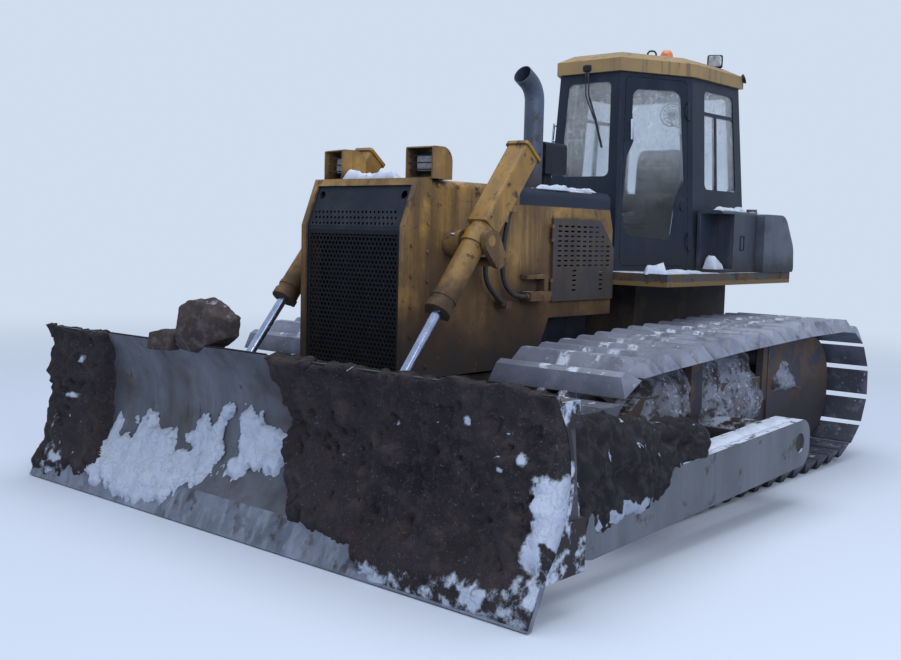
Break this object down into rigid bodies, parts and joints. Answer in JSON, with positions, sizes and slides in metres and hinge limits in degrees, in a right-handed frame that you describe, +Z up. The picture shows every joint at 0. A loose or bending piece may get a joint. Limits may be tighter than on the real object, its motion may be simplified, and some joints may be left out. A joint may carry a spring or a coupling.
{
  "type": "bulldozer",
  "caption": "Crawler bulldozer with wide swamp tracks, a straight front blade on outside push arms and lift cylinders, an angular closed cab, a grilled nose guard and a rear drawbar.",
  "frame": {"origin": "on the ground under the middle of the bounding box", "axes": "+X forwards towards the blade, +Y to the machine's left, +Z up"},
  "size_m": [5.262, 4.15, 3.1903],
  "materials": {
    "yellow_paint": "matt, dirty",
    "dark_paint": "matt, dusty",
    "brown_paint": "matt, rusty",
    "worn_steel": "worn bare",
    "track_steel": "worn",
    "black_metal": "sooty",
    "chrome": "bright",
    "glass": "dusty",
    "amber_plastic": "gloss",
    "black_plastic": "matt",
    "seat_cloth": "woven",
    "hose_rubber": "matt"
  },
  "bodies": {
    "machine": {"main_frame": "dark_paint", "engine_block": "track_steel", "radiator_core": "black_metal", "radiator_guard": "yellow_paint", "grille": "yellow_paint", "hood": "yellow_paint", "side_panels": "yellow_paint", "cowl": "dark_paint", "exhaust_pipe": "black_metal", "air_cleaner": "black_metal", "nose_lamps": "yellow_paint", "cab_shell": "dark_paint", "cab_glass": "glass", "cab_roof": "yellow_paint", "beacon": "amber_plastic", "roof_lamp": "black_plastic", "seat_base": "black_plastic", "seat_cushions": "seat_cloth", "cab_controls": "black_plastic", "platform": "dark_paint", "side_boxes": "dark_paint", "fuel_tank": "dark_paint", "track_left": "track_steel", "track_right": "track_steel", "sprockets": "track_steel", "idlers": "track_steel", "bottom_rollers": "track_steel", "carrier_rollers": "track_steel", "track_frames": "brown_paint", "final_drives": "yellow_paint", "cross_beams": "brown_paint", "lift_yokes": "yellow_paint", "drawbar": "brown_paint", "nose_plate": "dark_paint", "hood_rear": "dark_paint", "nose_lamp_units": "black_plastic", "hose_rear_left": "hose_rubber", "hose_rear_right": "hose_rubber", "hose_front_left": "hose_rubber", "hose_front_right": "hose_rubber"},
    "blade": {"moldboard": "worn_steel", "cutting_edge": "worn_steel", "push_arms": "worn_steel", "tilt_cylinder": "yellow_paint", "tilt_brace": "yellow_paint"},
    "lift_barrel_left": {"lift_barrel_left": "yellow_paint"},
    "lift_barrel_right": {"lift_barrel_right": "yellow_paint"},
    "lift_rod_left": {"lift_rod_left": "chrome"},
    "lift_rod_right": {"lift_rod_right": "chrome"},
    "cab_door_left": {"cab_door_left": "dark_paint", "door_glass_left": "glass", "door_handle_left": "chrome"},
    "cab_door_right": {"cab_door_right": "dark_paint", "door_glass_right": "glass", "door_handle_right": "chrome"},
    "engine_door_left": {"engine_door_left": "yellow_paint"},
    "engine_door_right": {"engine_door_right": "yellow_paint"}
  },
  "joints": [
    {"name": "blade_lift", "type": "hinge", "parent": "machine", "child": "blade", "pos_m": [-0.384, 0, 0.41], "axis": [0, -1, 0], "range_deg": [-10.5, 21]},
    {"name": "lift_trunnion_left", "type": "hinge", "parent": "machine", "child": "lift_barrel_left", "pos_m": [1.326, 0.66, 1.64], "axis": [0, -1, 0], "range_deg": [-13.8, 27.5]},
    {"name": "lift_stroke_left", "type": "slide", "parent": "lift_barrel_left", "child": "lift_rod_left", "axis": [0.6247, 0, -0.7809], "range_m": [-0.735, 0.37]},
    {"name": "lift_trunnion_right", "type": "hinge", "parent": "machine", "child": "lift_barrel_right", "pos_m": [1.326, -0.66, 1.64], "axis": [0, -1, 0], "range_deg": [-13.8, 27.5]},
    {"name": "lift_stroke_right", "type": "slide", "parent": "lift_barrel_right", "child": "lift_rod_right", "axis": [0.6247, 0, -0.7809], "range_m": [-0.735, 0.37]},
    {"name": "cab_door_left_hinge", "type": "hinge", "parent": "machine", "child": "cab_door_left", "pos_m": [-1.281, 0.62638, 1.4308], "axis": [-0.0133, -0.0573, 0.9983], "range_deg": [0, 100]},
    {"name": "cab_door_right_hinge", "type": "hinge", "parent": "machine", "child": "cab_door_right", "pos_m": [-1.281, -0.62638, 1.4308], "axis": [0.0133, -0.0573, -0.9983], "range_deg": [0, 100]},
    {"name": "engine_door_left_hinge", "type": "hinge", "parent": "machine", "child": "engine_door_left", "pos_m": [0.285, 0.462, 1.5], "axis": [0, 0, -1], "range_deg": [0, 100]},
    {"name": "engine_door_right_hinge", "type": "hinge", "parent": "machine", "child": "engine_door_right", "pos_m": [0.285, -0.462, 1.5], "axis": [0, 0, 1], "range_deg": [0, 100]}
  ],
  "couplings": [
    {"joint": "lift_trunnion_left", "follows": "blade_lift", "ratio": 1.3},
    {"joint": "lift_stroke_left", "follows": "blade_lift", "m_per_rad": -2},
    {"joint": "lift_trunnion_right", "follows": "blade_lift", "ratio": 1.3},
    {"joint": "lift_stroke_right", "follows": "blade_lift", "m_per_rad": -2}
  ]
}
